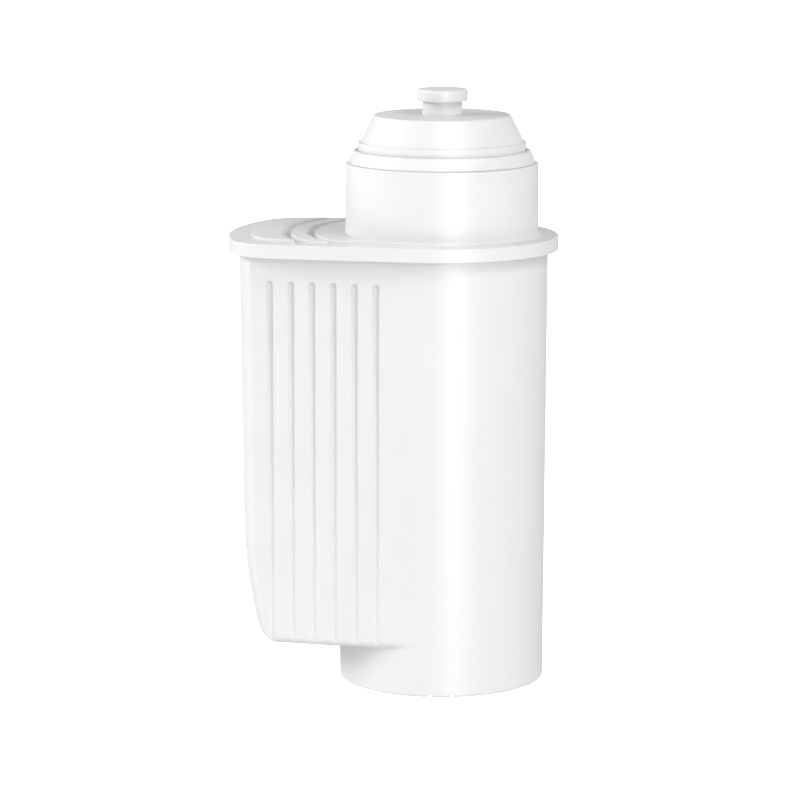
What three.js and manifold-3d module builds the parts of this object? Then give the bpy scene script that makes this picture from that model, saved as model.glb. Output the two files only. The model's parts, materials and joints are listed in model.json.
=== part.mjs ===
// Drop-in water filter cartridge for a water tank, in millimetres, +Z up.
//
// Water enters through the grid under the side chamber, rises through its carbon bed, crosses over
// under the lid, and is drawn down through the ion-exchange resin to the outlet socket in the base.
// A dial under the base opens a bypass port beside the outlet. The neck on the lid is the filling
// hole; a cap with a pull knob plugs it.
//
// The design is symmetric about the XZ plane. Everything is built about the axis of the round body,
// with the side chamber towards -X; the outer group then moves that axis so that the origin is at
// the middle of the base.
import * as THREE from 'three';
import { mergeVertices } from 'three/addons/utils/BufferGeometryUtils.js';
import Module from 'manifold-3d';

const wasm = await Module();
wasm.setup();

// ---- Driving dimensions --------------------------------------------------------------------------

const GAP = 0.3;                  // clearance between pieces that touch in the real cartridge
const WALL = 1.6;                 // moulded wall
const SEGMENTS = 48;              // facets of a large round piece
const SMALL_SEGMENTS = 24;        // facets of a small round piece
const DEG = Math.PI / 180;

// Plan outlines: a circle about the body axis, two straight sides that lean in towards the side
// chamber's end, rounded corners, and a bowed end. "lean" is the direction of a side's normal,
// measured from the line that runs from the axis to the chamber's end.
const FLANGE = { round: 24.5, lean: 87.4 * DEG, corner: 10, end: 42, tip: 44.9 };
const PLATEAU = { round: 20.5, lean: 86.8 * DEG, corner: 9.6, end: 35, tip: 40.2 };
const CHAMBER = { lean: 85.6 * DEG, corner: 1.4, end: 40, tip: 42.65 };

const BODY_RADIUS = 21.66;        // at the foot
const BODY_DRAFT = 0.0068;        // radius gained per millimetre of height
const BODY_FILLET = 0.5;          // foot edge
const CUP_TOP = 93;               // rim of the cup, inside the lid's groove

const CHAMBER_FLOOR = 9.7;        // underside of the side chamber
const CHAMBER_FILLET = 1.6;       // lower edges of its flat sides
const CHAMBER_END_FILLET = 2;     // lower edge of its end wall
const CHAMBER_BEND = 34;          // below this height the end wall curves in
const CHAMBER_BEND_RADIUS = 94;
const END_DRAFT = 0.0112;
const POCKET_START = 14;          // where the side pocket begins, from the body axis
const PARTITION_TOP = 86;         // water crosses over the partition above this height

const GROOVE_RADIUS = 0.72;
const GROOVE_SINK = 0.1;          // groove axis inside the wall's face, at the groove's top
const GROOVE_TOP = 86.8;
const GROOVE_FIRST = 10.4;        // distance of the first groove from the body axis
const GROOVE_PITCH = 4.52;
const GROOVE_COUNT = 6;

const FLANGE_BOTTOM = 91.8;
const FLANGE_TOP = 94.8;
const FLANGE_EDGE = 0.3;          // rounding of its edges
const PLATEAU_TOP = 95.4;
const PLATEAU_EDGE = 0.35;
const CHANNELS = [[26.7, 28.5], [31.7, 33.8]];   // inner and outer radius about the body axis
const CHANNEL_FLOOR = 94.4;       // sunk into the flange, within the plateau's outline
const ROOF_UNDERSIDE = 93.3;
const TONGUE = { depth: 3, thickness: 1.4 };     // locating rib under the lid

const COLLAR_RADIUS = 20.2;
const COLLAR_BORE = 18.7;
const COLLAR_TOP = 109.98;
const CONE = { bottom: 19.6, top: 18.5, height: 2.32, mouth: 17.95 };

const CAP_DISC = 14.35;
const CAP_CONE = 17.12;
const CAP_BAND = 17.6;
const CAP_TOP = 120;
const CAP_SHOULDER = 114.4;
const PLUG_BOTTOM = 108.9;
const SEAL_LEDGE = 107.5;

const KNOB_STEM = 4.15;
const KNOB_HEAD = 5.35;
const KNOB_NECK_TOP = 122.9;
const KNOB_TOP = 125.4;
const SHANK = 2.6;

const FLOOR = { bottom: 10.2, top: 12 };         // between the recess and the resin
const RECESS_RADIUS = 19.2;
const OUTLET = { outer: 6.2, bore: 4.6, mouth: 0.8, flange: 9, top: 13.5 };
const DIAL = { radius: 18.8, hub: 8.6, bore: 6.5, disc: 16.5 };
const PORT = { radius: 12.5, hole: 1.4 };        // bypass port in the floor
const INDEX_ANGLE = 98.7 * DEG;   // dial mark, from the side chamber's direction towards -Y
const INDEX_HALF_ANGLE = 6.7 * DEG;

// The body axis, placed so that the origin is at the middle of the part's length.
const AXIS_X = (FLANGE.tip - FLANGE.round) / 2;

// ---- Helpers ---------------------------------------------------------------------------------------

// Merges shared corners, drops empty triangles, and turns the faces to point out.
function closed(geometry) {
  geometry.deleteAttribute('normal');
  geometry.deleteAttribute('uv');
  const merged = mergeVertices(geometry, 1e-4);
  const position = merged.attributes.position;
  const corners = [0, 1, 2].map(() => new THREE.Vector3());
  const index = [];
  let volume = 0;
  for (let i = 0; i < merged.index.count; i += 3) {
    const [a, b, c] = [0, 1, 2].map((k) => merged.index.getX(i + k));
    if (a === b || b === c || c === a) continue;
    [a, b, c].forEach((v, k) => corners[k].fromBufferAttribute(position, v));
    volume += corners[0].dot(corners[1].clone().cross(corners[2]));
    index.push(a, b, c);
  }
  merged.setIndex(volume < 0 ? index.reverse() : index);
  return merged;
}

function toSolid(geometry) {
  const mesh = closed(geometry);
  return new wasm.Manifold(new wasm.Mesh({
    numProp: 3,
    vertProperties: new Float32Array(mesh.attributes.position.array),
    triVerts: new Uint32Array(mesh.index.array),
  }));
}

function toGeometry(solid) {
  const mesh = solid.getMesh();
  const geometry = new THREE.BufferGeometry();
  geometry.setAttribute('position', new THREE.BufferAttribute(mesh.vertProperties, 3));
  geometry.setIndex(new THREE.BufferAttribute(mesh.triVerts, 1));
  return geometry;
}

function join(...geometries) {
  return toGeometry(geometries.map(toSolid).reduce((sum, solid) => sum.add(solid)));
}

function cut(geometry, tools) {
  return toGeometry(tools.map(toSolid).reduce((rest, tool) => rest.subtract(tool), toSolid(geometry)));
}

// A solid of revolution about +Z from [radius, height] points.
function turned(profile, segments = SEGMENTS) {
  const points = profile.map(([radius, z]) => new THREE.Vector2(radius, z));
  if (profile[0][0] > 0) points.push(points[0].clone());
  return new THREE.LatheGeometry(points, segments).rotateX(Math.PI / 2);
}

function disc(radius, bottom, top, segments = SEGMENTS) {
  return turned([[0, bottom], [radius, bottom], [radius, top], [0, top]], segments);
}

function ring(inner, outer, bottom, top, segments = SEGMENTS) {
  return turned([[inner, bottom], [outer, bottom], [outer, top], [inner, top]], segments);
}

function box(low, high) {
  const size = high.map((value, k) => value - low[k]);
  const middle = high.map((value, k) => (value + low[k]) / 2);
  return new THREE.BoxGeometry(...size).translate(...middle);
}

// A quarter round as [fraction of the radius inwards, fraction of the radius along the height].
function quarterRound(steps) {
  return Array.from({ length: steps + 1 }, (_, k) => {
    const angle = (k / steps) * (Math.PI / 2);
    return [1 - Math.sin(angle), 1 - Math.cos(angle)];
  });
}

// The leaning sides, corners and end of a plan outline, from its +Y side to its -Y side.
// "inset" moves the whole outline inwards.
function nose({ round, lean, corner, end, tip }, inset = 0) {
  const side = round - inset;
  const fillet = Math.max(corner - inset, 0.3);
  const reach = end - inset - fillet;
  const centre = tip - end;
  const normal = [Math.cos(lean), Math.sin(lean)];
  const along = [Math.sin(lean), -Math.cos(lean)];
  const a = normal[0] * (side - fillet) - centre;
  const b = normal[1] * (side - fillet);
  const half = a * along[0] + b * along[1];
  const run = -half + Math.sqrt(half * half - a * a - b * b + reach * reach);
  const cornerX = centre + a + along[0] * run;
  const cornerY = b + along[1] * run;
  const meet = Math.atan2(cornerY, cornerX - centre);

  const points = [[normal[0] * side, normal[1] * side]];
  const cornerSteps = corner > 5 ? 6 : 3;
  for (let k = 0; k < cornerSteps; k++) {
    const angle = lean + ((meet - lean) * k) / cornerSteps;
    points.push([cornerX + fillet * Math.cos(angle), cornerY + fillet * Math.sin(angle)]);
  }
  const endSteps = 10;
  for (let k = 0; k <= endSteps / 2; k++) {
    const angle = meet * (1 - (2 * k) / endSteps);
    points.push([centre + (end - inset) * Math.cos(angle), (end - inset) * Math.sin(angle)]);
  }
  const mirrored = points.slice(0, -1).reverse().map(([x, y]) => [x, -y]);
  return [...points, ...mirrored].map(([x, y]) => new THREE.Vector2(-x, y));
}

// The whole plan outline: the nose, closed by the round body.
function outline(plan, inset = 0) {
  const radius = plan.round - inset;
  const points = nose(plan, inset);
  for (let k = 1; k < SEGMENTS; k++) {
    const angle = -Math.PI + (k * 2 * Math.PI) / SEGMENTS;
    if (Math.abs(angle) < Math.PI - plan.lean - 1e-6) {
      points.push(new THREE.Vector2(radius * Math.cos(angle), radius * Math.sin(angle)));
    }
  }
  return points;
}

// A solid between outlines at rising heights, each with equally many points.
function lofted(levels) {
  const base = levels[0].points;
  const steps = levels.length - 1;
  const geometry = new THREE.ExtrudeGeometry(new THREE.Shape(base), { depth: steps, steps, bevelEnabled: false });
  const position = geometry.attributes.position;
  for (let i = 0; i < position.count; i++) {
    const here = new THREE.Vector2(position.getX(i), position.getY(i));
    const level = levels[Math.round(position.getZ(i))];
    const point = level.points[base.findIndex((candidate) => candidate.distanceTo(here) < 1e-4)];
    position.setXYZ(i, point.x, point.y, level.z);
  }
  return geometry;
}

// A plate of a plan outline with rounded upper edges, and lower ones too where "both" is set.
function roundedPlate(plan, bottom, top, edge, both) {
  const steps = quarterRound(3);
  const lower = both
    ? steps.map(([inwards, up]) => ({ z: bottom + edge * up, points: outline(plan, edge * inwards) }))
    : [{ z: bottom, points: outline(plan) }];
  const upper = steps
    .map(([inwards, up]) => ({ z: top - edge * up, points: outline(plan, edge * inwards) }))
    .reverse();
  return lofted([...lower, ...upper]);
}

// A band that follows a plan outline between two insets.
function outlineBand(plan, outerInset, innerInset, bottom, top) {
  const level = (inset, z) => ({ z, points: outline(plan, inset) });
  const outside = lofted([level(outerInset, bottom), level(outerInset, top)]);
  const inside = lofted([level(innerInset, bottom - 1), level(innerInset, top + 1)]);
  return cut(outside, [inside]);
}

// ---- The body's own surfaces -----------------------------------------------------------------------

function bodyRadius(z) {
  return BODY_RADIUS + BODY_DRAFT * z;
}

// How far a rounded lower edge is drawn in at a height above the chamber's underside.
function edgeInset(fillet, height) {
  const below = Math.max(0, fillet - Math.max(0, height));
  return fillet - Math.sqrt(fillet ** 2 - below ** 2);
}

// The side chamber's plan at a height: it follows the body's draft, and its end wall curves in below.
function chamberPlan(z) {
  const bend = Math.max(0, CHAMBER_BEND - z) ** 2 / (2 * CHAMBER_BEND_RADIUS);
  const height = z - CHAMBER_FLOOR;
  const rounding = edgeInset(CHAMBER_END_FILLET, height) - edgeInset(CHAMBER_FILLET, height);
  const tip = CHAMBER.tip - END_DRAFT * (FLANGE_BOTTOM - z) - bend - rounding;
  return { ...CHAMBER, round: bodyRadius(z), tip };
}

// The side chamber between two heights, inset from its outer surface.
function chamberBlock(bottom, top, inset, fillet) {
  const level = (z, extra) => ({ z, points: nose(chamberPlan(z), inset + extra) });
  const foot = fillet
    ? quarterRound(3).map(([inwards, up]) => level(bottom + fillet * up, fillet * inwards))
    : [level(bottom, 0)];
  const heights = [12, 13, 16, 20, 25, 30, CHAMBER_BEND].filter((z) => z > bottom + fillet && z < top);
  return lofted([...foot, ...heights.map((z) => level(z, 0)), level(top, 0)]);
}

// The crescent between the round body and the side chamber's walls, less a clearance all round.
function pocket(bottom, top, clearance) {
  const body = turned([
    [0, bottom - 1],
    [bodyRadius(bottom - 1) + clearance, bottom - 1],
    [bodyRadius(top + 1) + clearance, top + 1],
    [0, top + 1],
  ]);
  const start = -(POCKET_START + clearance);
  return cut(chamberBlock(bottom, top, WALL + clearance, 0), [
    body,
    box([start, -30, bottom - 1], [30, 30, top + 1]),
  ]);
}

// A piece that fills the round bore between two heights, less a clearance.
function boreFilling(bottom, top) {
  const radius = (z) => bodyRadius(z) - WALL - GAP;
  return turned([[0, bottom], [radius(bottom), bottom], [radius(top), top], [0, top]]);
}

// ---- Shell -----------------------------------------------------------------------------------------

// Round-bottomed grooves down both flat sides of the side chamber, closed at the top. They are upright,
// so the wall's draft makes them shallower towards the foot.
function grooves() {
  const length = GROOVE_TOP;
  const side = bodyRadius(GROOVE_TOP) - GROOVE_SINK;
  const tools = [];
  for (const y of [-1, 1]) {
    for (let k = 0; k < GROOVE_COUNT; k++) {
      const out = GROOVE_FIRST + GROOVE_PITCH * k;
      const across = (side - Math.cos(CHAMBER.lean) * out) / Math.sin(CHAMBER.lean);
      tools.push(new THREE.CapsuleGeometry(GROOVE_RADIUS, length - 2 * GROOVE_RADIUS, 3, 12)
        .rotateX(Math.PI / 2)
        .translate(-out, y * across, GROOVE_TOP - length / 2));
    }
  }
  return tools;
}

function footNotches() {
  return [-1, 1].map((side) => box([RECESS_RADIUS - 1, -0.6, -1], [BODY_RADIUS + 1, 0.6, 0.55])
    .rotateZ(Math.PI + INDEX_ANGLE + side * INDEX_HALF_ANGLE));
}

function housing() {
  const foot = quarterRound(4).map(([inwards, up]) => [
    bodyRadius(BODY_FILLET) - BODY_FILLET * inwards,
    BODY_FILLET * up,
  ]);
  const body = turned([[0, 0], ...foot, [bodyRadius(CUP_TOP), CUP_TOP], [0, CUP_TOP]]);
  const chamber = chamberBlock(CHAMBER_FLOOR, CUP_TOP, 0, CHAMBER_FILLET);
  const bore = (z) => bodyRadius(z) - WALL;
  const mouth = [PARTITION_TOP, CUP_TOP + 1].map((z) => ({ z, points: outline(chamberPlan(z), WALL - 0.1) }));
  return cut(join(body, chamber), [
    turned([[0, FLOOR.top], [bore(FLOOR.top), FLOOR.top], [bore(PARTITION_TOP + 1), PARTITION_TOP + 1],
      [0, PARTITION_TOP + 1]]),
    lofted(mouth),
    pocket(CHAMBER_FLOOR + 1.8, PARTITION_TOP + 1, 0),
    box([-35, -11, CHAMBER_FLOOR - 1], [-26.5, 11, CHAMBER_FLOOR + 3]),
    disc(RECESS_RADIUS, -1, FLOOR.bottom),
    disc(OUTLET.outer + GAP, FLOOR.bottom - 1, FLOOR.top + 1, SMALL_SEGMENTS),
    disc(PORT.hole, FLOOR.bottom - 1, FLOOR.top + 1, 12).translate(0, PORT.radius, 0),
    ...footNotches(),
    ...grooves(),
  ]);
}

function lid() {
  const rim = chamberPlan(CUP_TOP);
  const plate = roundedPlate(FLANGE, FLANGE_BOTTOM, FLANGE_TOP, FLANGE_EDGE, true);
  const underside = lofted([FLANGE_BOTTOM - 1, ROOF_UNDERSIDE].map((z) => ({ z, points: outline(rim, -GAP) })));
  const plateau = cut(
    roundedPlate(PLATEAU, FLANGE_TOP - 1, PLATEAU_TOP, PLATEAU_EDGE, false),
    CHANNELS.map(([inner, outer]) => ring(inner, outer, CHANNEL_FLOOR, PLATEAU_TOP + 1, 2 * SEGMENTS)),
  );
  const inside = outline(PLATEAU, PLATEAU_EDGE);
  const sunk = CHANNELS.map(([inner, outer]) => cut(
    lofted([CHANNEL_FLOOR, PLATEAU_TOP + 1].map((z) => ({ z, points: inside }))),
    [
      disc(inner, FLANGE_BOTTOM, PLATEAU_TOP + 2, 2 * SEGMENTS),
      ring(outer, 2 * outer, FLANGE_BOTTOM, PLATEAU_TOP + 2, 2 * SEGMENTS),
    ],
  ));
  const collar = turned([[0, FLANGE_TOP - 1], [COLLAR_RADIUS + 0.55, FLANGE_TOP - 1],
    [COLLAR_RADIUS + 0.55, PLATEAU_TOP - 0.1], [COLLAR_RADIUS + 0.2, PLATEAU_TOP + 0.2],
    [COLLAR_RADIUS + 0.1, PLATEAU_TOP + 0.7], [COLLAR_RADIUS, COLLAR_TOP - 0.3],
    [COLLAR_RADIUS - 0.3, COLLAR_TOP], [0, COLLAR_TOP]]);
  const tongueInset = WALL + GAP;
  const tongue = outlineBand(rim, tongueInset, tongueInset + TONGUE.thickness,
    ROOF_UNDERSIDE - TONGUE.depth, ROOF_UNDERSIDE + 0.5);
  return cut(join(cut(plate, [underside, ...sunk]), tongue, plateau, collar), [
    disc(COLLAR_BORE, ROOF_UNDERSIDE - TONGUE.depth - 1, COLLAR_TOP + 1),
  ]);
}

// The cone above the collar. Its skirt plugs into the collar, and a ledge in it carries the cap.
function neckRing() {
  const bottom = COLLAR_TOP + GAP;
  const skirt = COLLAR_BORE - GAP;
  const inner = CONE.mouth - 1.35;
  return turned([
    [CONE.bottom, bottom],
    [CONE.top, bottom + CONE.height - 0.15],
    [CONE.top - 0.15, bottom + CONE.height],
    [CONE.mouth, bottom + CONE.height],
    [CONE.mouth, SEAL_LEDGE],
    [inner, SEAL_LEDGE],
    [inner, SEAL_LEDGE - 4],
    [skirt, SEAL_LEDGE - 4],
    [skirt, bottom],
  ]);
}

function cap() {
  const hole = SHANK + GAP;
  const roof = CAP_TOP - 1.8;
  return turned([
    [hole, CAP_TOP],
    [CAP_DISC - 0.25, CAP_TOP],
    [CAP_DISC, CAP_TOP - 0.25],
    [CAP_CONE, CAP_SHOULDER],
    [CAP_BAND - 0.1, CAP_SHOULDER],
    [CAP_BAND, CAP_SHOULDER - 0.1],
    [CAP_BAND, PLUG_BOTTOM],
    [CAP_BAND - 2, PLUG_BOTTOM],
    [CAP_BAND - 2, CAP_SHOULDER - 0.6],
    [CAP_DISC - 1.2, roof],
    [hole, roof],
  ]);
}

// The pull knob: a mushroom head on a stem, with a shank that passes through the cap.
function knob() {
  const shoulder = CAP_TOP + GAP;
  return turned([
    [0, 116],
    [SHANK + 0.6, 116],
    [SHANK + 0.6, 116.8],
    [SHANK, 116.8],
    [SHANK, shoulder],
    [KNOB_STEM, shoulder],
    [KNOB_STEM, KNOB_NECK_TOP],
    [KNOB_HEAD - 0.3, KNOB_NECK_TOP],
    [KNOB_HEAD, KNOB_NECK_TOP + 0.3],
    [KNOB_HEAD, KNOB_TOP - 0.6],
    [KNOB_HEAD - 0.2, KNOB_TOP - 0.2],
    [KNOB_HEAD - 0.7, KNOB_TOP],
    [0, KNOB_TOP],
  ], SMALL_SEGMENTS);
}

// ---- Filter beds -----------------------------------------------------------------------------------

// Straight slots across a round support plate.
function slottedPlate(bottom, top) {
  const reach = 17;
  const slots = [];
  for (let k = -4; k <= 4; k++) {
    const x = 3.8 * k;
    const half = Math.sqrt(reach * reach - x * x);
    slots.push(box([x - 0.8, -half, bottom - 1], [x + 0.8, half, top + 1]));
  }
  return cut(boreFilling(bottom, top), slots);
}

// Slots towards the end of a crescent support plate.
function slottedCrescent(bottom, top) {
  const slots = [];
  for (let k = -4; k <= 4; k++) {
    const y = 2.4 * k;
    slots.push(box([-35, y - 0.6, bottom - 1], [-26.5, y + 0.6, top + 1]));
  }
  return cut(pocket(bottom, top, GAP), slots);
}

// ---- Outlet and bypass dial ------------------------------------------------------------------------

// A sleeve through the floor. Its bore is the socket for the tank's nipple.
function outletTube() {
  const groove = 1.6;
  const grooveBottom = 3;
  return turned([
    [OUTLET.bore, OUTLET.mouth],
    [OUTLET.outer, OUTLET.mouth],
    [OUTLET.outer, FLOOR.top + GAP],
    [OUTLET.flange, FLOOR.top + GAP],
    [OUTLET.flange, OUTLET.top],
    [OUTLET.bore, OUTLET.top],
    [OUTLET.bore, grooveBottom + groove],
    [OUTLET.bore + 0.9, grooveBottom + groove],
    [OUTLET.bore + 0.9, grooveBottom],
    [OUTLET.bore, grooveBottom],
  ], SMALL_SEGMENTS);
}

function outletSeal() {
  const section = 0.5;
  const profile = Array.from({ length: 8 }, (_, k) => [
    4.7 + section * Math.cos(k * 45 * DEG),
    3.8 + section * Math.sin(k * 45 * DEG),
  ]);
  return turned(profile, SMALL_SEGMENTS);
}

// An arc-shaped slot about the axis.
function arcSlot(inner, outer, from, to, bottom, top) {
  const shape = new THREE.Shape();
  shape.absarc(0, 0, outer, from, to, false);
  shape.absarc(0, 0, inner, to, from, true);
  const options = { depth: top - bottom, bevelEnabled: false, curveSegments: 6 };
  return new THREE.ExtrudeGeometry(shape, options).translate(0, 0, bottom);
}

// A spool: the finger plate below, a hub, and the valve disc that covers the bypass port.
function bypassDial() {
  const spool = turned([
    [DIAL.bore, 1.2],
    [DIAL.radius - 0.3, 1.2],
    [DIAL.radius, 1.5],
    [DIAL.radius, 3],
    [DIAL.hub, 3],
    [DIAL.hub, 7.6],
    [DIAL.disc, 7.6],
    [DIAL.disc, 9.2],
    [DIAL.bore, 9.2],
  ]);
  const grip = [0, Math.PI].map((turn) => box([9.8, -1.1, 0.4], [17.6, 1.1, 1.6]).rotateZ(turn));
  const pointer = box([15.6, -0.5, 0.7], [18.4, 0.5, 1.6]).rotateZ(Math.PI + INDEX_ANGLE);
  const slot = arcSlot(PORT.radius - 1.4, PORT.radius + 1.4, 60 * DEG, 95 * DEG, 7, 10);
  return cut(join(spool, ...grip, pointer), [slot]);
}

function dialGasket() {
  const hole = disc(PORT.hole + 0.2, 9, 11, 12).translate(0, PORT.radius, 0);
  return cut(ring(DIAL.bore + 0.5, 16, 9.5, 9.9), [hole]);
}

// ---- Materials and assembly ------------------------------------------------------------------------

const material = (color, roughness) => new THREE.MeshStandardMaterial({ color, roughness, metalness: 0 });

function addPiece(group, name, geometry, pieceMaterial) {
  const mesh = new THREE.Mesh(closed(geometry), pieceMaterial);
  mesh.name = name;
  group.add(mesh);
}

function shellGroup() {
  const group = new THREE.Group();
  addPiece(group, 'housing', housing(), material(0xf4f4f2, 0.5));
  addPiece(group, 'lid', lid(), material(0xf4f4f2, 0.5));
  addPiece(group, 'neck_ring', neckRing(), material(0xf2f2f0, 0.45));
  addPiece(group, 'cap', cap(), material(0xf2f2f0, 0.45));
  addPiece(group, 'cap_seal', ring(16.9, CAP_BAND, SEAL_LEDGE + GAP, PLUG_BOTTOM - GAP), material(0x3a3d40, 0.8));
  addPiece(group, 'pull_knob', knob(), material(0xefefed, 0.45));
  addPiece(group, 'knob_clip', ring(SHANK + GAP, 5.5, 117.1, 117.9, SMALL_SEGMENTS), material(0xb9bcc0, 0.4));
  return group;
}

function mainBedGroup() {
  const group = new THREE.Group();
  const felt = material(0xe9e7e0, 0.95);
  const frame = material(0xe6e6e4, 0.6);
  addPiece(group, 'lower_screen', slottedPlate(13.8, 15.8), frame);
  addPiece(group, 'lower_felt', boreFilling(16.1, 18.6), felt);
  addPiece(group, 'resin_bed', boreFilling(18.9, 80), material(0xb98a3c, 0.7));
  addPiece(group, 'upper_felt', boreFilling(80.3, 82.8), felt);
  addPiece(group, 'upper_screen', slottedPlate(83.1, 85.1), frame);
  return group;
}

function sideBedGroup() {
  const group = new THREE.Group();
  const felt = material(0xe9e7e0, 0.95);
  const frame = material(0xe6e6e4, 0.6);
  addPiece(group, 'inlet_grid', slottedCrescent(11.8, 13.4), frame);
  addPiece(group, 'inlet_felt', pocket(13.7, 16.2, GAP), felt);
  addPiece(group, 'carbon_bed', pocket(16.5, 80, GAP), material(0x1d1d1f, 0.9));
  addPiece(group, 'side_felt', pocket(80.3, 82.8, GAP), felt);
  addPiece(group, 'side_screen', slottedCrescent(83.1, 85.1), frame);
  return group;
}

function outletGroup() {
  const group = new THREE.Group();
  addPiece(group, 'outlet_tube', outletTube(), material(0xe6e6e4, 0.5));
  addPiece(group, 'outlet_seal', outletSeal(), material(0x2c2e31, 0.75));
  addPiece(group, 'dial_gasket', dialGasket(), material(0x3a3d40, 0.8));
  addPiece(group, 'dial_retainer', ring(DIAL.bore, 9, GAP, 0.9, SMALL_SEGMENTS), material(0xe6e6e4, 0.5));
  return group;
}

function dialGroup() {
  const group = new THREE.Group();
  addPiece(group, 'bypass_dial', bypassDial(), material(0xc9ccd0, 0.5));
  return group;
}

const cartridge = new THREE.Group();
cartridge.position.x = AXIS_X;
cartridge.add(shellGroup(), mainBedGroup(), sideBedGroup(), outletGroup(), dialGroup());

const part = new THREE.Group();
part.add(cartridge);

export default part;
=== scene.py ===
"""A white moulded water filter cartridge, standing on a pale studio floor.

The pieces that show are built here as fine meshes, each over the CAD node that it replaces; the sealed
inner pieces stay as they are and get their materials. The design's own lengths are in millimetres, and a
mesh is scaled to metres when it is made. Everything is built about the round body's axis, with the side
chamber towards -X.
"""
import json
import math

import bmesh
import bpy
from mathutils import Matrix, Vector

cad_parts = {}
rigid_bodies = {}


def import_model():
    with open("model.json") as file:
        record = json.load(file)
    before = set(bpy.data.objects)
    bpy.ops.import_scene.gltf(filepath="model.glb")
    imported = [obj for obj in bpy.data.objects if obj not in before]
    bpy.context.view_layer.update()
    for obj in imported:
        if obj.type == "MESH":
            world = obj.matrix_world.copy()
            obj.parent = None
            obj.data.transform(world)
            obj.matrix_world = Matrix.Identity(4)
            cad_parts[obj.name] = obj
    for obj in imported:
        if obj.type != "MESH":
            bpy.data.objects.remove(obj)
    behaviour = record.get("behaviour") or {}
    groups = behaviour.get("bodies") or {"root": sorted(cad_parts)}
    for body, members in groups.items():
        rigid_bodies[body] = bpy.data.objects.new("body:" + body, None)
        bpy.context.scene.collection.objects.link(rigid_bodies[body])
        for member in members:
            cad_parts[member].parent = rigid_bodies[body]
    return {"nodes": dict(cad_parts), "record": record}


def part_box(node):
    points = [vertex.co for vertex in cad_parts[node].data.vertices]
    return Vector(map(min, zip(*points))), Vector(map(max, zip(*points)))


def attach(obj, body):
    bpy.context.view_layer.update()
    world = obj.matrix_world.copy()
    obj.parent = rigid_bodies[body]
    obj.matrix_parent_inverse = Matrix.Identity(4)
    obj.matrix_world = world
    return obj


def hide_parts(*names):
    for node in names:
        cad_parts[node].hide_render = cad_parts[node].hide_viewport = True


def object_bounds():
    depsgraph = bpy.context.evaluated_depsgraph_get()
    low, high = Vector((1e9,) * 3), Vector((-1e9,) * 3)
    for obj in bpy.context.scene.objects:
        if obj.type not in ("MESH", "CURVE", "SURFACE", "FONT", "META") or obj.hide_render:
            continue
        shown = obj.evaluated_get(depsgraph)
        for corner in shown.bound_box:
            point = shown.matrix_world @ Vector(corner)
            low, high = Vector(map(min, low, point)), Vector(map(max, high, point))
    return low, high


for leftover in list(bpy.data.objects):
    bpy.data.objects.remove(leftover)

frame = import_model()
cad_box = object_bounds()

MM = 0.001
DEG = math.pi / 180
BODY = "cartridge"
DIAL = "dial"


# ---- Sizes ------------------------------------------------------------------------------------------

def low_high(node):
    """A CAD node's box, in millimetres, about the round body's axis."""
    low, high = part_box(node)
    shift = Vector((AXIS_X, 0, 0))
    return (low - shift) / MM, (high - shift) / MM


AXIS_X = sum(corner.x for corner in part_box("cap")) / 2

_, housing_high = low_high("housing")
lid_low, lid_high = low_high("lid")
ring_low, ring_high = low_high("neck_ring")
cap_low, cap_high = low_high("cap")
knob_low, knob_high = low_high("pull_knob")
dial_low, dial_high = low_high("bypass_dial")
tube_low, tube_high = low_high("outlet_tube")

WALL = 1.6
GAP = 0.3
SEAM = 0.02            # the hairline where two outer pieces meet

# Plan outlines: a circle, two leaning sides, rounded corners and a bowed end.
FLANGE = dict(round=lid_high.x, lean=87.4 * DEG, corner=10.0, end=42.0, tip=-lid_low.x)
PLATEAU = dict(round=20.5, lean=86.8 * DEG, corner=9.6, end=35.0, tip=40.2)
CHAMBER = dict(lean=85.6 * DEG, corner=1.4, end=40.0, tip=42.65)

BODY_DRAFT = 0.0068
CUP_TOP = housing_high.z
BODY_RADIUS = housing_high.x - BODY_DRAFT * CUP_TOP
BODY_FILLET = 0.5
RECESS_RADIUS = 19.2
FLOOR_BOTTOM = 10.2
FLOOR_TOP = 12.0

CHAMBER_FLOOR = 9.7
CHAMBER_FILLET = 1.6
CHAMBER_END_FILLET = 2.0
CHAMBER_BEND = 34.0
CHAMBER_BEND_RADIUS = 94.0
END_DRAFT = 0.0112
POCKET_START = 14.0
PARTITION_TOP = 86.0

GROOVE_RADIUS = 0.72
GROOVE_DEPTH = 1.1     # depth over half width
GROOVE_EDGE = 0.03     # softness of a groove's shoulders
GROOVE_TOP = 86.8
GROOVE_FIRST = 10.4
GROOVE_PITCH = 4.52
GROOVE_COUNT = 6

FLANGE_BOTTOM = 91.8
FLANGE_TOP = 94.8
FLANGE_EDGE = 0.25
PLATEAU_TOP = 95.4
PLATEAU_EDGE = 0.3
ROOF_UNDERSIDE = 93.3
CHANNELS = [(26.7, 28.5), (31.7, 33.8)]
CHANNEL_FLOOR = 94.4

COLLAR_RADIUS = 20.2
COLLAR_BORE = 18.7
COLLAR_TOP = lid_high.z

SHANK = 2.6
DIAL_BORE = 6.5
INDEX_ANGLE = 98.7 * DEG
INDEX_HALF_ANGLE = 6.7 * DEG

AROUND = 144           # steps round a large circle
FLAT_MARGIN = 0.3      # width of the strip that keeps a flat face flat beside a rounded edge


# ---- Meshes -----------------------------------------------------------------------------------------

def new_piece(name, points, faces):
    """A closed mesh from points in millimetres about the body's axis, with its faces turned outwards."""
    mesh = bpy.data.meshes.new(name)
    mesh.from_pydata([(x * MM + AXIS_X, y * MM, z * MM) for x, y, z in points], [], faces)
    shape = bmesh.new()
    shape.from_mesh(mesh)
    bmesh.ops.remove_doubles(shape, verts=shape.verts, dist=0.002 * MM)
    bmesh.ops.recalc_face_normals(shape, faces=shape.faces)
    shape.to_mesh(mesh)
    shape.free()
    piece = bpy.data.objects.new(name, mesh)
    bpy.context.scene.collection.objects.link(piece)
    return piece


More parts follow.
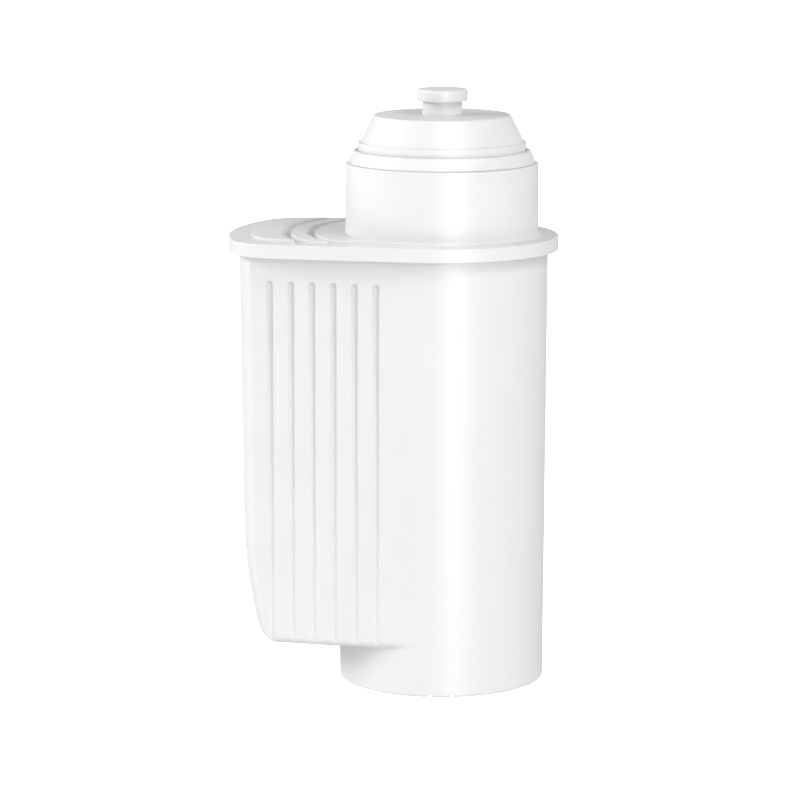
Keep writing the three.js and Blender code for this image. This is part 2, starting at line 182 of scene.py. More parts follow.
def skinned(name, rings):
    """A solid through rings of equally many points, closed by a face at each end."""
    count = len(rings[0])
    points = [point for ring in rings for point in ring]
    faces = [list(range(count)), list(range(len(points) - count, len(points)))]
    for level in range(len(rings) - 1):
        start = level * count
        for k in range(count):
            following = (k + 1) % count
            faces.append([start + k, start + following, start + count + following, start + count + k])
    return new_piece(name, points, faces)


def rounded(corners, closed, step=11 * DEG):
    """A profile of (radius, height) points from corners, each given as (radius, height, fillet)."""
    count = len(corners)
    profile = []
    for k, (r, z, fillet) in enumerate(corners):
        here = Vector((r, z))
        at_end = not closed and k in (0, count - 1)
        if fillet <= 0 or at_end:
            profile.append(here)
            continue
        before = (Vector(corners[k - 1][:2]) - here).normalized()
        after = (Vector(corners[(k + 1) % count][:2]) - here).normalized()
        opening = before.angle(after)
        reach = fillet / math.tan(opening / 2)
        centre = here + (before + after).normalized() * (fillet / math.sin(opening / 2))
        start = here + before * reach - centre
        turn = math.pi - opening
        if start.x * (after.y - before.y) - start.y * (after.x - before.x) < 0:
            turn = -turn
        steps = max(2, round(abs(turn) / step))
        for i in range(steps + 1):
            angle = turn * i / steps
            cos, sin = math.cos(angle), math.sin(angle)
            profile.append(centre + Vector((start.x * cos - start.y * sin, start.x * sin + start.y * cos)))
    return [(point.x, point.y) for point in profile]


def turned(name, corners, around=AROUND):
    """A solid of revolution from (radius, height, fillet) corners. It closes on the axis or on itself."""
    on_axis = corners[0][0] == 0
    profile = rounded(corners, closed=not on_axis)
    points = []
    index = []
    for r, z in profile:
        if r < 1e-6:
            index.append([len(points)] * around)
            points.append((0, 0, z))
        else:
            index.append(range(len(points), len(points) + around))
            points += [
                (r * math.cos(2 * math.pi * k / around), r * math.sin(2 * math.pi * k / around), z)
                for k in range(around)
            ]
    pairs = list(zip(index, index[1:]))
    if not on_axis:
        pairs.append((index[-1], index[0]))
    faces = []
    for first, second in pairs:
        for k in range(around):
            following = (k + 1) % around
            corners_of_face = [first[k], first[following], second[following], second[k]]
            faces.append(list(dict.fromkeys(corners_of_face)))
    return new_piece(name, points, [face for face in faces if len(face) > 2])


def block(name, low, high, fillet=0.0, turn=0.0):
    """A box, with rounded edges where fillet is set, turned about the body's axis."""
    corners = [(x, y, z) for x in (low[0], high[0]) for y in (low[1], high[1]) for z in (low[2], high[2])]
    sides = [[0, 1, 3, 2], [4, 6, 7, 5], [0, 4, 5, 1], [2, 3, 7, 6], [0, 2, 6, 4], [1, 5, 7, 3]]
    cos, sin = math.cos(turn), math.sin(turn)
    points = [(x * cos - y * sin, x * sin + y * cos, z) for x, y, z in corners]
    piece = new_piece(name, points, sides)
    if fillet:
        modify(piece, "BEVEL", width=fillet * MM, segments=4, limit_method="NONE")
    return piece


def modify(piece, kind, **settings):
    """Adds a modifier and applies it to the mesh."""
    modifier = piece.modifiers.new(kind.lower(), kind)
    for name, value in settings.items():
        setattr(modifier, name, value)
    evaluated = piece.evaluated_get(bpy.context.evaluated_depsgraph_get())
    mesh = bpy.data.meshes.new_from_object(evaluated)
    piece.modifiers.clear()
    piece.data = mesh


def combine(piece, operation, others):
    """Joins other solids to a piece, or cuts them from it, and removes them."""
    for other in others:
        modify(piece, "BOOLEAN", operation=operation, object=other, solver="MANIFOLD")
        bpy.data.objects.remove(other)
    return piece


def join(piece, *others):
    return combine(piece, "UNION", others)


def cut(piece, *others):
    return combine(piece, "DIFFERENCE", others)


# ---- Plan outlines ----------------------------------------------------------------------------------

def nose_arcs(plan, inset):
    """Where a plan's leaning side, corner arc and end arc meet, after an inset."""
    side = plan["round"] - inset
    fillet = max(plan["corner"] - inset, 0.3)
    reach = plan["end"] - inset - fillet
    centre = plan["tip"] - plan["end"]
    normal = Vector((math.cos(plan["lean"]), math.sin(plan["lean"])))
    along = Vector((normal.y, -normal.x))
    start = normal * (side - fillet) - Vector((centre, 0))
    half = start.dot(along)
    run = -half + math.sqrt(half * half - start.length_squared + reach * reach)
    corner = start + along * run + Vector((centre, 0))
    meet = math.atan2(corner.y, corner.x - centre)
    return dict(side=side, fillet=fillet, centre=centre, normal=normal, corner=corner, meet=meet)


def nose_end(plan, inset, arcs, corner_steps, end_steps):
    """The corner and half of the bowed end, as (distance out from the axis, distance across)."""
    points = []
    for k in range(corner_steps):
        angle = plan["lean"] + (arcs["meet"] - plan["lean"]) * k / corner_steps
        points.append(arcs["corner"] + Vector((math.cos(angle), math.sin(angle))) * arcs["fillet"])
    for k in range(end_steps + 1):
        angle = arcs["meet"] * (1 - k / end_steps)
        radius = plan["end"] - inset
        points.append(Vector((arcs["centre"] + radius * math.cos(angle), radius * math.sin(angle))))
    return points


def round_part(radius, lean):
    """The round body's own stretch of an outline, from the -Y side round to the +Y side."""
    steps = round((2 * math.pi - 2 * lean) / (2 * math.pi / AROUND))
    angles = [-lean - (2 * math.pi - 2 * lean) * k / steps for k in range(1, steps)]
    return [Vector((radius * math.cos(angle), radius * math.sin(angle))) for angle in angles]


def outline(plan, inset=0.0, side_steps=12, corner_steps=18, end_steps=24):
    """A whole plan outline as (distance out, distance across) points."""
    arcs = nose_arcs(plan, inset)
    first = arcs["normal"] * arcs["side"]
    last = arcs["corner"] + arcs["normal"] * arcs["fillet"]
    half = [first.lerp(last, k / side_steps) for k in range(side_steps)]
    half += nose_end(plan, inset, arcs, corner_steps, end_steps)
    mirrored = [Vector((point.x, -point.y)) for point in reversed(half[:-1])]
    return half + mirrored + round_part(arcs["side"], plan["lean"])


def level(points, z):
    """An outline placed at a height, with the side chamber towards -X."""
    return [(-point.x, point.y, z) for point in points]


def evenly(start, step, count):
    return [start + step * k for k in range(count)]


def quarter(steps):
    """A quarter round as (share of the radius inwards, share of the radius in height) pairs."""
    angles = [math.pi / 2 * k / steps for k in range(steps + 1)]
    return [(1 - math.sin(angle), 1 - math.cos(angle)) for angle in angles]


def rounded_plate(name, plan, bottom, top, edge, both=False, steps=7):
    """A plate of a plan outline with rounded upper edges, and lower ones too where "both" is set."""
    rings = []
    if both:
        rings += [level(outline(plan, edge + FLAT_MARGIN), bottom)]
        rings += [level(outline(plan, edge * inwards), bottom + edge * up) for inwards, up in quarter(steps)]
    else:
        rings += [level(outline(plan), bottom)]
    upper = [level(outline(plan, edge * inwards), top - edge * up) for inwards, up in quarter(steps)]
    rings += list(reversed(upper))
    rings += [level(outline(plan, edge + FLAT_MARGIN), top)]
    return skinned(name, rings)


# ---- Body surfaces ----------------------------------------------------------------------------------

def body_radius(z):
    return BODY_RADIUS + BODY_DRAFT * z


def edge_inset(fillet, height):
    """How far a rounded lower edge is drawn in at a height above the chamber's underside."""
    below = max(0.0, fillet - max(0.0, height))
    return fillet - math.sqrt(fillet ** 2 - below ** 2)


def chamber_plan(z):
    """The side chamber's plan: it follows the body's draft, and its end wall curves in below."""
    bend = max(0.0, CHAMBER_BEND - z) ** 2 / (2 * CHAMBER_BEND_RADIUS)
    height = z - CHAMBER_FLOOR
    rounding = edge_inset(CHAMBER_END_FILLET, height) - edge_inset(CHAMBER_FILLET, height)
    tip = CHAMBER["tip"] - END_DRAFT * (FLANGE_BOTTOM - z) - bend - rounding
    return dict(CHAMBER, round=body_radius(z), tip=tip)


def groove_places():
    """Each groove's distance out from the body's axis, and its own axis's distance across."""
    side = body_radius(GROOVE_TOP)
    for k in range(GROOVE_COUNT):
        out = GROOVE_FIRST + GROOVE_PITCH * k
        yield out, (side - math.cos(CHAMBER["lean"]) * out) / math.sin(CHAMBER["lean"])


GROOVES = list(groove_places())
LAST_COLUMN = GROOVES[-1][0] + 1.5


def side_columns():
    """Distances out along a flat side, close together at the grooves' shoulders."""
    angles = [-76 + 8 * k for k in range(20)]
    across = [GROOVE_RADIUS * math.sin(angle * DEG) for angle in angles]
    shoulders = [0.725, 0.74, 0.77, 0.85, 1.05, 1.4]
    offsets = sorted(across + shoulders + [-value for value in shoulders])
    columns = [2.6, 4.2, 5.8, 7.4]
    for out, _ in GROOVES:
        columns += [out + offset for offset in offsets]
        if out != GROOVES[-1][0]:
            columns.append(out + GROOVE_PITCH / 2)
    return [out for out in columns if out < LAST_COLUMN]


SIDE_COLUMNS = side_columns()


def grooved(point, z):
    """Moves a point of a flat side inwards onto the floor of the groove that it lies in."""
    top = GROOVE_TOP - GROOVE_RADIUS
    across = abs(point.y)
    for out, axis in GROOVES:
        chord = GROOVE_RADIUS ** 2 - (point.x - out) ** 2 - max(0.0, z - top) ** 2
        if chord > 0:
            inner = axis - GROOVE_DEPTH * math.sqrt(chord)
            difference = across - inner
            across = (across + inner - math.sqrt(difference ** 2 + GROOVE_EDGE ** 2)) / 2
    return Vector((point.x, math.copysign(across, point.y)))


def housing_ring(z, inset=0.0):
    """The housing's outer outline at a height: the side chamber where it stands out of the round body."""
    plan = chamber_plan(z)
    arcs = nose_arcs(plan, inset)
    lean = plan["lean"]
    corner_out = arcs["corner"].x + arcs["fillet"] * math.cos(lean)
    squeeze = min(1.0, (corner_out - 0.25) / LAST_COLUMN)
    outs = [math.cos(lean) * arcs["side"]] + [out * squeeze for out in SIDE_COLUMNS]
    outs += [outs[-1] + (corner_out - outs[-1]) * share for share in (0.4, 0.75)]
    half = [Vector((out, (arcs["side"] - math.cos(lean) * out) / math.sin(lean))) for out in outs]
    half += nose_end(plan, inset, arcs, 8, 30)
    points = []
    for point in half:
        point = grooved(point, z)
        if point.length < body_radius(z):
            point = point.normalized() * body_radius(z)
        points.append(point)
    mirrored = [Vector((point.x, -point.y)) for point in reversed(points[:-1])]
    return points + mirrored + round_part(body_radius(z), lean)


def scaled_ring(ring, radius):
    """The same directions as a ring's points, on a circle."""
    return [point.normalized() * radius for point in ring]


def housing():
    base = housing_ring(CHAMBER_FLOOR, CHAMBER_FILLET)
    rings = []

    # From the recess's roof, down its wall, over the foot and up to the chamber's underside.
    lip = 0.25
    strip = 0.4
    rings.append(level(scaled_ring(base, RECESS_RADIUS - strip), FLOOR_BOTTOM))
    rings.append(level(scaled_ring(base, RECESS_RADIUS), FLOOR_BOTTOM))
    rings.append(level(scaled_ring(base, RECESS_RADIUS), lip))
    for inwards, up in quarter(3)[::-1]:
        rings.append(level(scaled_ring(base, RECESS_RADIUS + lip * (1 - up)), lip * (1 - inwards)))
    foot_radius = body_radius(BODY_FILLET)
    for inwards, up in quarter(9):
        rings.append(level(scaled_ring(base, foot_radius - BODY_FILLET * inwards), BODY_FILLET * up))
    for z in (3, 5, 7, 8.6):
        rings.append(level(scaled_ring(base, body_radius(z)), z))
    cove = 0.6
    for share in (0.0, 0.25, 0.5, 0.75, 1.0):
        angle = math.pi / 2 * share
        out = body_radius(CHAMBER_FLOOR) + cove * (1 - math.cos(angle))
        ring = [point if point.length < out else point.normalized() * out for point in base]
        rings.append(level(ring, CHAMBER_FLOOR - cove * (1 - math.sin(angle)) - 0.02))
    rings.append(level(housing_ring(CHAMBER_FLOOR, CHAMBER_FILLET + strip), CHAMBER_FLOOR))

    # Up the chamber's rounded lower edge and its walls.
    for inwards, up in quarter(8):
        z = CHAMBER_FLOOR + CHAMBER_FILLET * up
        rings.append(level(housing_ring(z, CHAMBER_FILLET * inwards), z))
    heights = evenly(11.6, 0.3, 4) + [12.9, 13.5, 14.2, 15] + evenly(16, 1.5, 6) + evenly(25, 2, 5)
    heights += evenly(36, 3, 17) + evenly(GROOVE_TOP - 1.6, 0.08, 23) + [88, 90, FLANGE_BOTTOM, CUP_TOP]
    rings += [level(housing_ring(z), z) for z in heights]

    return cut(
        skinned("housing_shell", rings),
        main_bore(),
        mouth(),
        side_pocket(),
        inlet_window(),
        outlet_hole(),
        *foot_notches(),
    )


def main_bore():
    """The hollow of the round body, up to the top of the partition."""
    top = PARTITION_TOP + 1
    return turned("bore", [
        (0, FLOOR_TOP, 0),
        (body_radius(FLOOR_TOP) - WALL, FLOOR_TOP, 1.0),
        (body_radius(PARTITION_TOP) - WALL, top, 0),
        (0, top, 0),
    ])


def mouth():
    """The one opening above the partition, a little wider than the hollows below it."""
    inset = WALL - 0.1
    return skinned("mouth", [level(outline(chamber_plan(z), inset), z) for z in (PARTITION_TOP, CUP_TOP + 1)])


def side_pocket():
    """The hollow of the side chamber, outside the round partition."""
    bottom, top = CHAMBER_FLOOR + 1.8, PARTITION_TOP + 1
    heights = [bottom, 12, 12.5, 13, 16, 20, 25, 30, CHAMBER_BEND, top]
    pocket = skinned("pocket", [level(outline(chamber_plan(z), WALL), z) for z in heights])
    partition = turned("partition", [
        (0, bottom - 1, 0),
        (body_radius(bottom), bottom - 1, 0),
        (body_radius(top), top + 1, 0),
        (0, top + 1, 0),
    ])
    keep_out = block("keep_out", (-POCKET_START, -40, bottom - 2), (60, 40, top + 2))
    return cut(pocket, partition, keep_out)


def inlet_window():
    near, far, half_width = 26.5, 35, 11
    return block("window", (-far, -half_width, CHAMBER_FLOOR - 1), (-near, half_width, CHAMBER_FLOOR + 3))


def outlet_hole():
    bottom, top = FLOOR_BOTTOM - 1.2, FLOOR_TOP + 1
    corners = [(0, bottom, 0), (DIAL_BORE, bottom, 0), (DIAL_BORE, top, 0), (0, top, 0)]
    return turned("outlet_hole", corners, around=64)


def foot_notches():
    """Two marks at the foot's front edge, one on each side of the dial's pointer."""
    return [
        block("notch", (RECESS_RADIUS - 1, -0.6, -1), (BODY_RADIUS + 1, 0.6, 0.55),
              turn=math.pi + INDEX_ANGLE + side * INDEX_HALF_ANGLE)
        for side in (-1, 1)
    ]


def lid():
    rim = chamber_plan(CUP_TOP)
    plate = rounded_plate("lid_moulding", FLANGE, FLANGE_BOTTOM, FLANGE_TOP, FLANGE_EDGE, both=True)
    seat = outline(rim, -GAP)
    cut(plate, skinned("underside", [level(seat, z) for z in (FLANGE_BOTTOM - 1, ROOF_UNDERSIDE)]))

    plateau = rounded_plate("plateau", PLATEAU, FLANGE_TOP - 1, PLATEAU_TOP, PLATEAU_EDGE)
    inside = outline(PLATEAU, PLATEAU_EDGE)
    shoulder = 0.12
    slope = 0.4
    skim = PLATEAU_TOP + 0.004
    for inner, outer in CHANNELS:
        profile = [
            (inner, CHANNEL_FLOOR, 0.15),
            (outer - slope, CHANNEL_FLOOR, 0.15),
            (outer, skim, shoulder),
            (outer + 0.6, skim, 0),
            (outer + 0.6, PLATEAU_TOP + 1, 0),
            (inner - 0.6, PLATEAU_TOP + 1, 0),
            (inner - 0.6, skim, 0),
            (inner, skim, shoulder),
        ]
        cut(plateau, turned("channel", profile, 3 * AROUND))
        sunk = skinned("sunk_channel", [level(inside, z) for z in (FLANGE_BOTTOM, PLATEAU_TOP + 2)])
        cut(plate, combine(sunk, "INTERSECT", [turned("channel", profile, 3 * AROUND)]))

    collar = turned("collar", [
        (0, FLANGE_TOP - 1, 0),
        (COLLAR_RADIUS + 1.6, FLANGE_TOP - 1, 0),
        (COLLAR_RADIUS + 1.0, FLANGE_TOP, 0),
        (COLLAR_RADIUS + 0.1, FLANGE_TOP + 0.05, 0.8),
        (COLLAR_RADIUS, COLLAR_TOP, 0.35),
        (COLLAR_BORE - 1, COLLAR_TOP, 0),
        (0, COLLAR_TOP, 0),
    ], 2 * AROUND)
    bore = turned("bore", [
        (0, ROOF_UNDERSIDE - 5, 0),
        (COLLAR_BORE, ROOF_UNDERSIDE - 5, 0),
        (COLLAR_BORE, COLLAR_TOP + 1, 0),
        (0, COLLAR_TOP + 1, 0),
    ])
    return cut(join(plate, plateau, collar, tongue(rim)), bore)


def tongue(rim):
    """The wall under the lid that fits inside the cup's rim."""
    outer = outline(rim, WALL + GAP)
    inner = outline(rim, WALL + GAP + 1.4)
    bottom, top = lid_low.z, ROOF_UNDERSIDE + 0.5
    wall = skinned("tongue", [level(outer, z) for z in (bottom, top)])
    return cut(wall, skinned("inside", [level(inner, z) for z in (bottom - 1, top + 1)]))


def neck_ring():
    """The cone that closes onto the collar, with a skirt inside it and a ledge for the cap."""
    skirt = COLLAR_BORE - GAP
    foot, brow = 19.6, 18.5
    seam = COLLAR_TOP + SEAM
    mouth_radius = cap_high.x + 0.14
    ledge, ledge_width = 107.5, 1.35
    return turned("neck_cone", [
        (foot, seam, 0.12),
        (brow, ring_high.z, 0.25),
        (mouth_radius, ring_high.z, 0.15),
        (mouth_radius, ledge, 0),
        (mouth_radius - ledge_width, ledge, 0.2),
        (mouth_radius - ledge_width, ring_low.z, 0.3),
        (skirt, ring_low.z, 0.3),
        (skirt, seam, 0),
    ], 2 * AROUND)


def cap():
    """The plug's band, cone and flat disc, with a hole for the knob's shank."""
    hole = SHANK + GAP
    band, cone_foot, disc = cap_high.x, 17.12, 14.35
    shoulder = 114.4
    inner_band, inner_disc = band - 2, 13.2
    ceiling = cap_high.z - 1.8
    return turned("cap_moulding", [
        (hole, cap_high.z, 0),
        (disc, cap_high.z, 0.4),
        (cone_foot, shoulder, 0.12),
        (band, shoulder, 0.18),
        (band, cap_low.z, 0.3),
        (inner_band, cap_low.z, 0.3),
        (inner_band, shoulder - 0.6, 0.8),
        (inner_disc, ceiling, 1.2),
        (hole, ceiling, 0),
    ], 2 * AROUND)


def knob():
    """The mushroom head, its stem on the cap, and a shank that ends in a barb."""
    head, stem, barb = knob_high.x, 4.15, SHANK + 0.6
    head_bottom = 122.9
    barb_top = knob_low.z + 0.8
    stem_bottom = cap_high.z + SEAM
    return turned("knob_moulding", [
        (0, knob_low.z, 0),
        (barb, knob_low.z, 0.3),
        (barb, barb_top, 0),
        (SHANK, barb_top, 0),
        (SHANK, stem_bottom, 0),
        (stem, stem_bottom, 0.05),
        (stem, head_bottom, 0.2),
        (head, head_bottom, 0.15),
        (head, knob_high.z, 0.7),
        (0, knob_high.z, 0),
    ])


def outlet_sleeve():
    """The socket under the base, with a flange on the cup's floor and a groove for its seal."""
    bore, outer, flange = 4.6, 6.2, tube_high.x
    groove, groove_bottom, groove_top = 5.5, 3.0, 4.6
    floor = FLOOR_TOP + GAP
    return turned("outlet_socket", [
        (bore, tube_low.z, 0.35),
        (outer, tube_low.z, 0.25),
        (outer, floor, 0),
        (flange, floor, 0),
        (flange, tube_high.z, 0),
        (bore, tube_high.z, 0),
        (bore, groove_top, 0.1),
        (groove, groove_top, 0),
        (groove, groove_bottom, 0),
        (bore, groove_bottom, 0.1),
    ])


def outlet_ring():
    radius, height, section = 4.7, 3.8, 0.5
    corners = [
        (radius + section * math.cos(angle), height + section * math.sin(angle), 0)
        for angle in evenly(0, 30 * DEG, 12)
    ]
    return turned("outlet_o_ring", corners)


def retainer():
    """The push-on ring that holds the dial, just above the surface that the foot stands on."""
    radius, top = 9.0, 0.9
    return turned("dial_push_ring", [
        (DIAL_BORE, GAP, 0.15),
        (radius, GAP, 0.15),
        (radius, top, 0.1),
        (DIAL_BORE, top, 0.1),
    ])


def dial():
    """The bypass dial: a plate with two grips and a pointer, a hub, and the port disc above."""
    radius, hub, disc = dial_high.x, 8.6, 16.5
    plate_bottom, plate_top, disc_bottom = 1.2, 3.0, 7.6
    spool = turned("dial_moulding", [
        (DIAL_BORE, plate_bottom, 0.15),
        (radius, plate_bottom, 0.35),
        (radius, plate_top, 0.3),
        (hub, plate_top, 0.3),
        (hub, disc_bottom, 0.3),
        (disc, disc_bottom, 0.2),
        (disc, dial_high.z, 0.2),
        (DIAL_BORE, dial_high.z, 0),
    ])
    buried = plate_bottom + 0.4
    grips = [block("grip", (9.8, -1.1, dial_low.z), (17.6, 1.1, buried), 0.35, turn) for turn in (0, math.pi)]
    pointer = block("pointer", (15.6, -0.5, 0.7), (18.4, 0.5, buried), 0.2, math.pi + INDEX_ANGLE)
    return join(spool, *grips, pointer)


# ---- Materials --------------------------------------------------------------------------------------

def new_material(name, color, roughness, **sockets):
    material = bpy.data.materials.new(name)
    material.use_nodes = True
    shader = material.node_tree.nodes["Principled BSDF"]
    shader.inputs["Base Color"].default_value = (*color, 1)
    shader.inputs["Roughness"].default_value = roughness
    for socket, value in sockets.items():
        shader.inputs[socket.replace("_", " ")].default_value = value
    return material, material.node_tree, shader


def node(tree, kind, **settings):
    made = tree.nodes.new(kind)
    for name, value in settings.items():
        if name in made.inputs:
            made.inputs[name].default_value = value
        else:
            setattr(made, name, value)
    return made


def moulded_plastic(name, color, roughness):
    """Satin injection-moulded plastic: faint spark-eroded grain, soft flow mottling and light scuffs."""
    material, tree, shader = new_material(name, color, roughness)
    links = tree.links
    place = node(tree, "ShaderNodeTexCoord").outputs["Object"]

    mottle = node(tree, "ShaderNodeTexNoise", Scale=90.0, Detail=4.0, Roughness=0.55)
    links.new(place, mottle.inputs["Vector"])
    tint = node(tree, "ShaderNodeValToRGB")
    tint.color_ramp.elements[0].position = 0.3
    tint.color_ramp.elements[0].color = (*[c * 0.975 for c in color], 1)
    tint.color_ramp.elements[1].position = 0.7
    tint.color_ramp.elements[1].color = (*color, 1)
    links.new(mottle.outputs["Fac"], tint.inputs["Fac"])
    links.new(tint.outputs["Color"], shader.inputs["Base Color"])

    scuff = node(tree, "ShaderNodeTexNoise", Scale=420.0, Detail=6.0, Roughness=0.65)
    links.new(place, scuff.inputs["Vector"])
    gloss = node(tree, "ShaderNodeMapRange")
    gloss.inputs["From Min"].default_value = 0.3
    gloss.inputs["From Max"].default_value = 0.7
    gloss.inputs["To Min"].default_value = roughness - 0.05
    gloss.inputs["To Max"].default_value = roughness + 0.07
    links.new(scuff.outputs["Fac"], gloss.inputs["Value"])
    links.new(gloss.outputs["Result"], shader.inputs["Roughness"])

    grain = node(tree, "ShaderNodeTexNoise", Scale=3200.0, Detail=2.0, Roughness=0.5)
    links.new(place, grain.inputs["Vector"])
    bump = node(tree, "ShaderNodeBump", Strength=0.06, Distance=0.00008)
    links.new(grain.outputs["Fac"], bump.inputs["Height"])
    links.new(bump.outputs["Normal"], shader.inputs["Normal"])
    return material


def packed_grains(name, dark, light, size, roughness):
    """A packed bed of beads or grains, each painted lighter in its middle and darker towards its edge:
    painted shade in the gaps between grains.
    """
    material, tree, shader = new_material(name, light, roughness)
    links = tree.links
    place = node(tree, "ShaderNodeTexCoord").outputs["Object"]
    cells = node(tree, "ShaderNodeTexVoronoi", Scale=1 / size)
    links.new(place, cells.inputs["Vector"])
    # painted shade: the colour darkens from each grain's middle out to the gaps between the grains
    tint = node(tree, "ShaderNodeValToRGB")
    tint.color_ramp.elements[0].color = (*light, 1)
    tint.color_ramp.elements[1].color = (*dark, 1)
    links.new(cells.outputs["Distance"], tint.inputs["Fac"])
    links.new(tint.outputs["Color"], shader.inputs["Base Color"])
    bump = node(tree, "ShaderNodeBump", Strength=0.8, Distance=size * 0.4)
    bump.invert = True
    links.new(cells.outputs["Distance"], bump.inputs["Height"])
    links.new(bump.outputs["Normal"], shader.inputs["Normal"])
    return material


def pressed_felt(name, color):
    """Non-woven fleece: tangled fibres with a soft sheen."""
    material, tree, shader = new_material(name, color, 0.95, Sheen_Weight=0.3)
    links = tree.links
    place = node(tree, "ShaderNodeTexCoord").outputs["Object"]
    fibres = node(tree, "ShaderNodeTexNoise", Scale=900.0, Detail=8.0, Roughness=0.75, Distortion=1.5)
    links.new(place, fibres.inputs["Vector"])
    tint = node(tree, "ShaderNodeValToRGB")
    tint.color_ramp.elements[0].color = (*[c * 0.75 for c in color], 1)
    tint.color_ramp.elements[1].color = (*color, 1)
    links.new(fibres.outputs["Fac"], tint.inputs["Fac"])
    links.new(tint.outputs["Color"], shader.inputs["Base Color"])
    bump = node(tree, "ShaderNodeBump", Strength=0.7, Distance=0.0003)
    links.new(fibres.outputs["Fac"], bump.inputs["Height"])
    links.new(bump.outputs["Normal"], shader.inputs["Normal"])
    return material


def elastomer(name, color):
    """Moulded rubber with a fine dusty bloom."""
    material, tree, shader = new_material(name, color, 0.7)
    links = tree.links
    place = node(tree, "ShaderNodeTexCoord").outputs["Object"]
    bloom = node(tree, "ShaderNodeTexNoise", Scale=600.0, Detail=5.0)
    links.new(place, bloom.inputs["Vector"])
    tint = node(tree, "ShaderNodeValToRGB")
    tint.color_ramp.elements[0].color = (*color, 1)
    tint.color_ramp.elements[1].color = (*[c * 1.8 + 0.01 for c in color], 1)
    links.new(bloom.outputs["Fac"], tint.inputs["Fac"])
    links.new(tint.outputs["Color"], shader.inputs["Base Color"])
    bump = node(tree, "ShaderNodeBump", Strength=0.2, Distance=0.0001)
    links.new(bloom.outputs["Fac"], bump.inputs["Height"])
    links.new(bump.outputs["Normal"], shader.inputs["Normal"])
    return material


def spring_steel(name, color):
    """Stamped stainless steel with rolling marks."""
    material, tree, shader = new_material(name, color, 0.35, Metallic=1.0)
    links = tree.links
    place = node(tree, "ShaderNodeTexCoord").outputs["Object"]
    stretch = node(tree, "ShaderNodeMapping")
    stretch.inputs["Scale"].default_value = (1.0, 30.0, 30.0)
    links.new(place, stretch.inputs["Vector"])
    marks = node(tree, "ShaderNodeTexNoise", Scale=200.0, Detail=4.0)
    links.new(stretch.outputs["Vector"], marks.inputs["Vector"])
    gloss = node(tree, "ShaderNodeMapRange")
    gloss.inputs["To Min"].default_value = 0.28
    gloss.inputs["To Max"].default_value = 0.45
    links.new(marks.outputs["Fac"], gloss.inputs["Value"])
    links.new(gloss.outputs["Result"], shader.inputs["Roughness"])
    return material


WHITE = (0.66, 0.66, 0.66)

MATERIALS = {
    "white_body": moulded_plastic("white_body_plastic", WHITE, 0.4),
    "white_cap": moulded_plastic("white_cap_plastic", WHITE, 0.38),
    "natural_plastic": moulded_plastic("natural_screen_plastic", (0.74, 0.74, 0.71), 0.5),
    "grey_dial": moulded_plastic("grey_dial_plastic", (0.46, 0.48, 0.50), 0.45),
    "dark_rubber": elastomer("dark_rubber_elastomer", (0.02, 0.02, 0.022)),
    "felt": pressed_felt("pressed_fleece", (0.78, 0.76, 0.70)),
    "resin_beads": packed_grains("amber_resin_beads", (0.10, 0.045, 0.01), (0.55, 0.30, 0.07), 0.0007, 0.35),
    "carbon_grains": packed_grains("black_carbon_grains", (0.004,) * 3, (0.03,) * 3, 0.0011, 0.6),
    "clip_steel": spring_steel("clip_spring_steel", (0.62, 0.63, 0.64)),
}
SLOT_OF = {entry["node"]: entry["material_slot"] for entry in frame["record"]["subparts"]}


def finish_piece(piece, replaced, body=BODY, sharp=35 * DEG):
    """Smooth shading, the material, and the body and node that a piece stands for."""
    for polygon in piece.data.polygons:
        polygon.use_smooth = True
    piece.data.set_sharp_from_angle(angle=sharp)
    normals = piece.modifiers.new("even_normals", "WEIGHTED_NORMAL")
    normals.keep_sharp = True
    slot = SLOT_OF[replaced]
    piece.data.materials.clear()
    piece.data.materials.append(MATERIALS[slot])
    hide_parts(replaced)
    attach(piece, body)


finish_piece(housing(), "housing")
finish_piece(lid(), "lid")
finish_piece(neck_ring(), "neck_ring")
finish_piece(cap(), "cap")
finish_piece(knob(), "pull_knob")
finish_piece(outlet_sleeve(), "outlet_tube")
finish_piece(outlet_ring(), "outlet_seal")
finish_piece(retainer(), "dial_retainer")
finish_piece(dial(), "bypass_dial", body=DIAL)

for name, cad_node in frame["nodes"].items():
    cad_node.data.materials.clear()
    cad_node.data.materials.append(MATERIALS[SLOT_OF[name]])


# ---- Studio, in metres ------------------------------------------------------------------------------

LAMP_DISTANCE = 1.6


def backdrop():
    """A pale floor that curves up into a wall behind the object."""
    half_width, front, back, height, bend = 3.0, -2.2, 1.2, 2.2, 0.6
    below_foot = 0.00005
    steps = 16
    profile = [(front, 0.0)]
    for angle in evenly(0, math.pi / 2 / steps, steps + 1):
        profile.append((back - bend + bend * math.sin(angle), bend - bend * math.cos(angle)))
    profile.append((back, height))
    points = [(x, y, z - below_foot) for y, z in profile for x in (-half_width, half_width)]
    faces = [[2 * k, 2 * k + 1, 2 * k + 3, 2 * k + 2] for k in range(len(profile) - 1)]
    mesh = bpy.data.meshes.new("studio_sweep")
    mesh.from_pydata(points, [], faces)
    mesh.polygons.foreach_set("use_smooth", [True] * len(faces))
    sweep = bpy.data.objects.new("studio_sweep", mesh)
    bpy.context.scene.collection.objects.link(sweep)
    material, _, shader = new_material("studio_paper", (0.9, 0.9, 0.9), 0.9)
    shader.inputs["Emission Color"].default_value = (1, 1, 1, 1)
    shader.inputs["Emission Strength"].default_value = 0.75
    mesh.materials.append(material)
    sweep.visible_diffuse = False
    sweep.visible_glossy = False
    sweep.visible_shadow = False


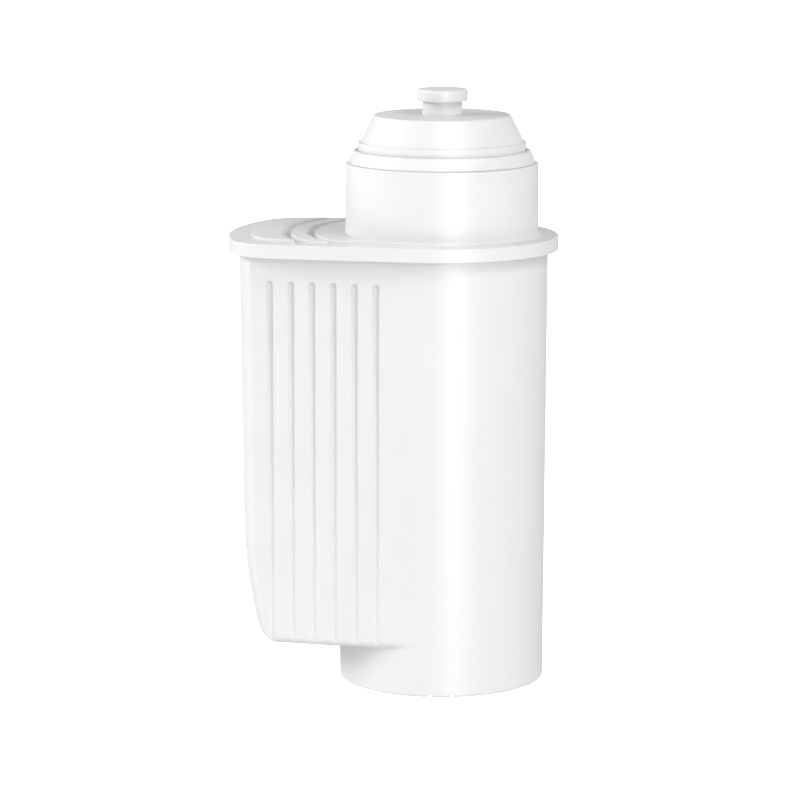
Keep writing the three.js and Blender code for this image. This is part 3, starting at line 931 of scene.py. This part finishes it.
def soft_box(name, azimuth, elevation, width, height, power, shine=False):
    """An area light aimed at the object's middle. Azimuth 0 is in front, and it grows to the right.

    A shining box is only seen in the gloss, and the others only give soft light.
    """
    light = bpy.data.lights.new(name, "AREA")
    light.shape = "RECTANGLE"
    light.size = width
    light.size_y = height
    light.energy = power
    lamp = bpy.data.objects.new(name, light)
    target = Vector((0, 0, cad_box[1].z / 2))
    direction = Vector((
        math.sin(azimuth) * math.cos(elevation),
        -math.cos(azimuth) * math.cos(elevation),
        math.sin(elevation),
    ))
    lamp.location = target + direction * LAMP_DISTANCE
    lamp.rotation_euler = (-direction).to_track_quat("-Z", "Y").to_euler()
    lamp.visible_camera = False
    lamp.visible_diffuse = not shine
    lamp.visible_glossy = shine
    bpy.context.scene.collection.objects.link(lamp)


def camera():
    """A long lens, a little above the cap and turned towards the side chamber's end."""
    yaw, pitch = 9.4 * DEG, 9.96 * DEG
    distance, height, aside = 0.77996, 0.1963, -0.00882
    lens = bpy.data.cameras.new("camera")
    lens.lens = 168.2
    lens.sensor_width = 36.0
    lens.clip_end = 20.0
    view = bpy.data.objects.new("camera", lens)
    view.location = (
        AXIS_X + distance * math.sin(yaw) + aside * math.cos(yaw),
        -distance * math.cos(yaw) + aside * math.sin(yaw),
        height,
    )
    view.rotation_euler = (math.pi / 2 - pitch, 0, yaw)
    bpy.context.scene.collection.objects.link(view)
    bpy.context.scene.camera = view


def surroundings(strength):
    world = bpy.data.worlds.new("studio_air")
    world.use_nodes = True
    background = world.node_tree.nodes["Background"]
    background.inputs["Color"].default_value = (1, 1, 1, 1)
    background.inputs["Strength"].default_value = strength
    bpy.context.scene.world = world


backdrop()
soft_box("tall_strip", 23 * DEG, 25 * DEG, 0.5, 3.2, 48.0, shine=True)
soft_box("left_shine", -98 * DEG, 33 * DEG, 0.8, 0.8, 5.0, shine=True)
soft_box("right_key", 60 * DEG, 45 * DEG, 0.6, 0.6, 9.9)
soft_box("left_key", -75 * DEG, 25 * DEG, 0.6, 0.6, 14.8)
soft_box("left_side", -102 * DEG, 12 * DEG, 0.6, 0.6, 8.5)
soft_box("right_fill", 45 * DEG, 10 * DEG, 0.6, 0.6, 7.8)
soft_box("front_fill", -12 * DEG, 32 * DEG, 0.8, 0.8, 2.4)
soft_box("front_bounce", 5 * DEG, -33 * DEG, 1.3, 1.0, 6.8)
soft_box("left_bounce", -45 * DEG, -25 * DEG, 1.3, 1.0, 8.0)
soft_box("right_bounce", 80 * DEG, -20 * DEG, 1.0, 1.0, 4.2)
soft_box("back_fill", 165 * DEG, 12 * DEG, 1.0, 1.0, 4.0)
camera()
surroundings(0.45)
bpy.context.scene.view_settings.view_transform = "Standard"
